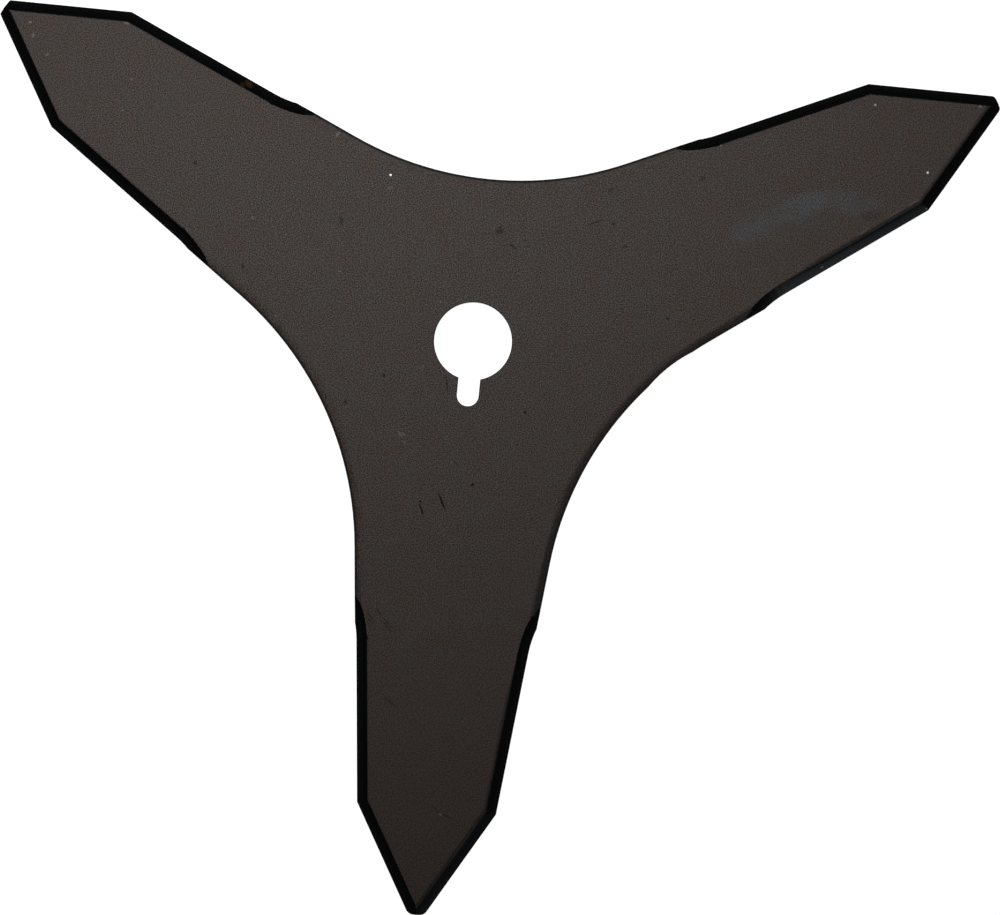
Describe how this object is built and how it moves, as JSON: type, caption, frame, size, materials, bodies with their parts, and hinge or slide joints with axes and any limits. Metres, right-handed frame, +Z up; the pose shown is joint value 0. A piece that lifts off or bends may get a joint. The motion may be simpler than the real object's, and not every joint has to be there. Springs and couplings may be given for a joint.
{
  "type": "brush cutter blade",
  "caption": "Flat star-shaped steel blade with tapered teeth, ground on both faces, and a central arbor hole with a key slot.",
  "frame": {"origin": "on the axis of the arbor hole, halfway through the blade's thickness", "axes": "+Z up out of the face that the punch rounded, along the arbor; -Y along the tooth that the key slot points to"},
  "size_m": [0.2614, 0.2267, 0.003],
  "materials": {
    "blackened_steel": "dark brown-grey coated spring steel with a fine grain, near black on the ground edges"
  },
  "bodies": {
    "root": {"blade": "blackened_steel"}
  },
  "joints": []
}
